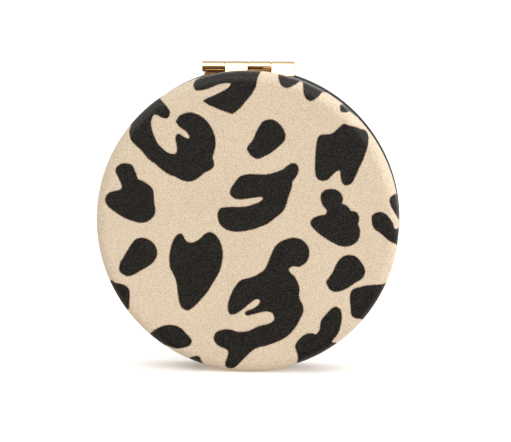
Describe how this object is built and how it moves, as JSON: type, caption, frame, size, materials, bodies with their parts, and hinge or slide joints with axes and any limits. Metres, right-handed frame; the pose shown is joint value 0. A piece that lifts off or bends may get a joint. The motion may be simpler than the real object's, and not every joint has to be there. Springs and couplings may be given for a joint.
{
  "type": "compact mirror",
  "caption": "Round folding pocket mirror: a padded lid with a spotted print hinged to a black padded base, with a plain and a magnifying mirror inside.",
  "frame": {"origin": "centre of the base's outer face, the plane that the closed case rests on", "axes": "+Z from the base to the lid, +Y towards the hinge, +X along the hinge to its right seen from the lid with the hinge away from the viewer"},
  "size_m": [0.07, 0.0718, 0.013],
  "materials": {
    "printed_suede": "beige faux suede with a black leopard print, soft short nap",
    "black_leatherette": "fine-grained black leatherette, semi-matt",
    "foam": "thin closed-cell foam sheet",
    "shell_plastic": "moulded, hidden",
    "frame_plastic": "moulded, satin black",
    "mirror_glass": "silvered glass",
    "adhesive_tissue": "double-sided adhesive tissue, hidden",
    "gilt_brass": "polished light gold plating",
    "plated_magnet": "nickel plating"
  },
  "bodies": {
    "base": {"base_cover": "black_leatherette", "base_foam_pad": "foam", "base_shell": "shell_plastic", "base_frame": "frame_plastic", "base_mirror": "mirror_glass", "base_mirror_tape": "adhesive_tissue", "base_bezel": "gilt_brass", "base_magnets": "plated_magnet", "base_hinge_leaf": "gilt_brass", "base_rivets": "gilt_brass", "hinge_pin": "gilt_brass"},
    "lid": {"lid_cover": "printed_suede", "lid_foam_pad": "foam", "lid_shell": "shell_plastic", "lid_frame": "frame_plastic", "lid_mirror": "mirror_glass", "lid_mirror_tape": "adhesive_tissue", "lid_bezel": "gilt_brass", "lid_magnets": "plated_magnet", "lid_hinge_leaf": "gilt_brass", "lid_rivets": "gilt_brass"}
  },
  "joints": [
    {"name": "lid_hinge", "type": "hinge", "parent": "base", "child": "lid", "pos_m": [0, 0.0357, 0.0065], "axis": [-1, 0, 0], "range_deg": [0, 180]}
  ]
}
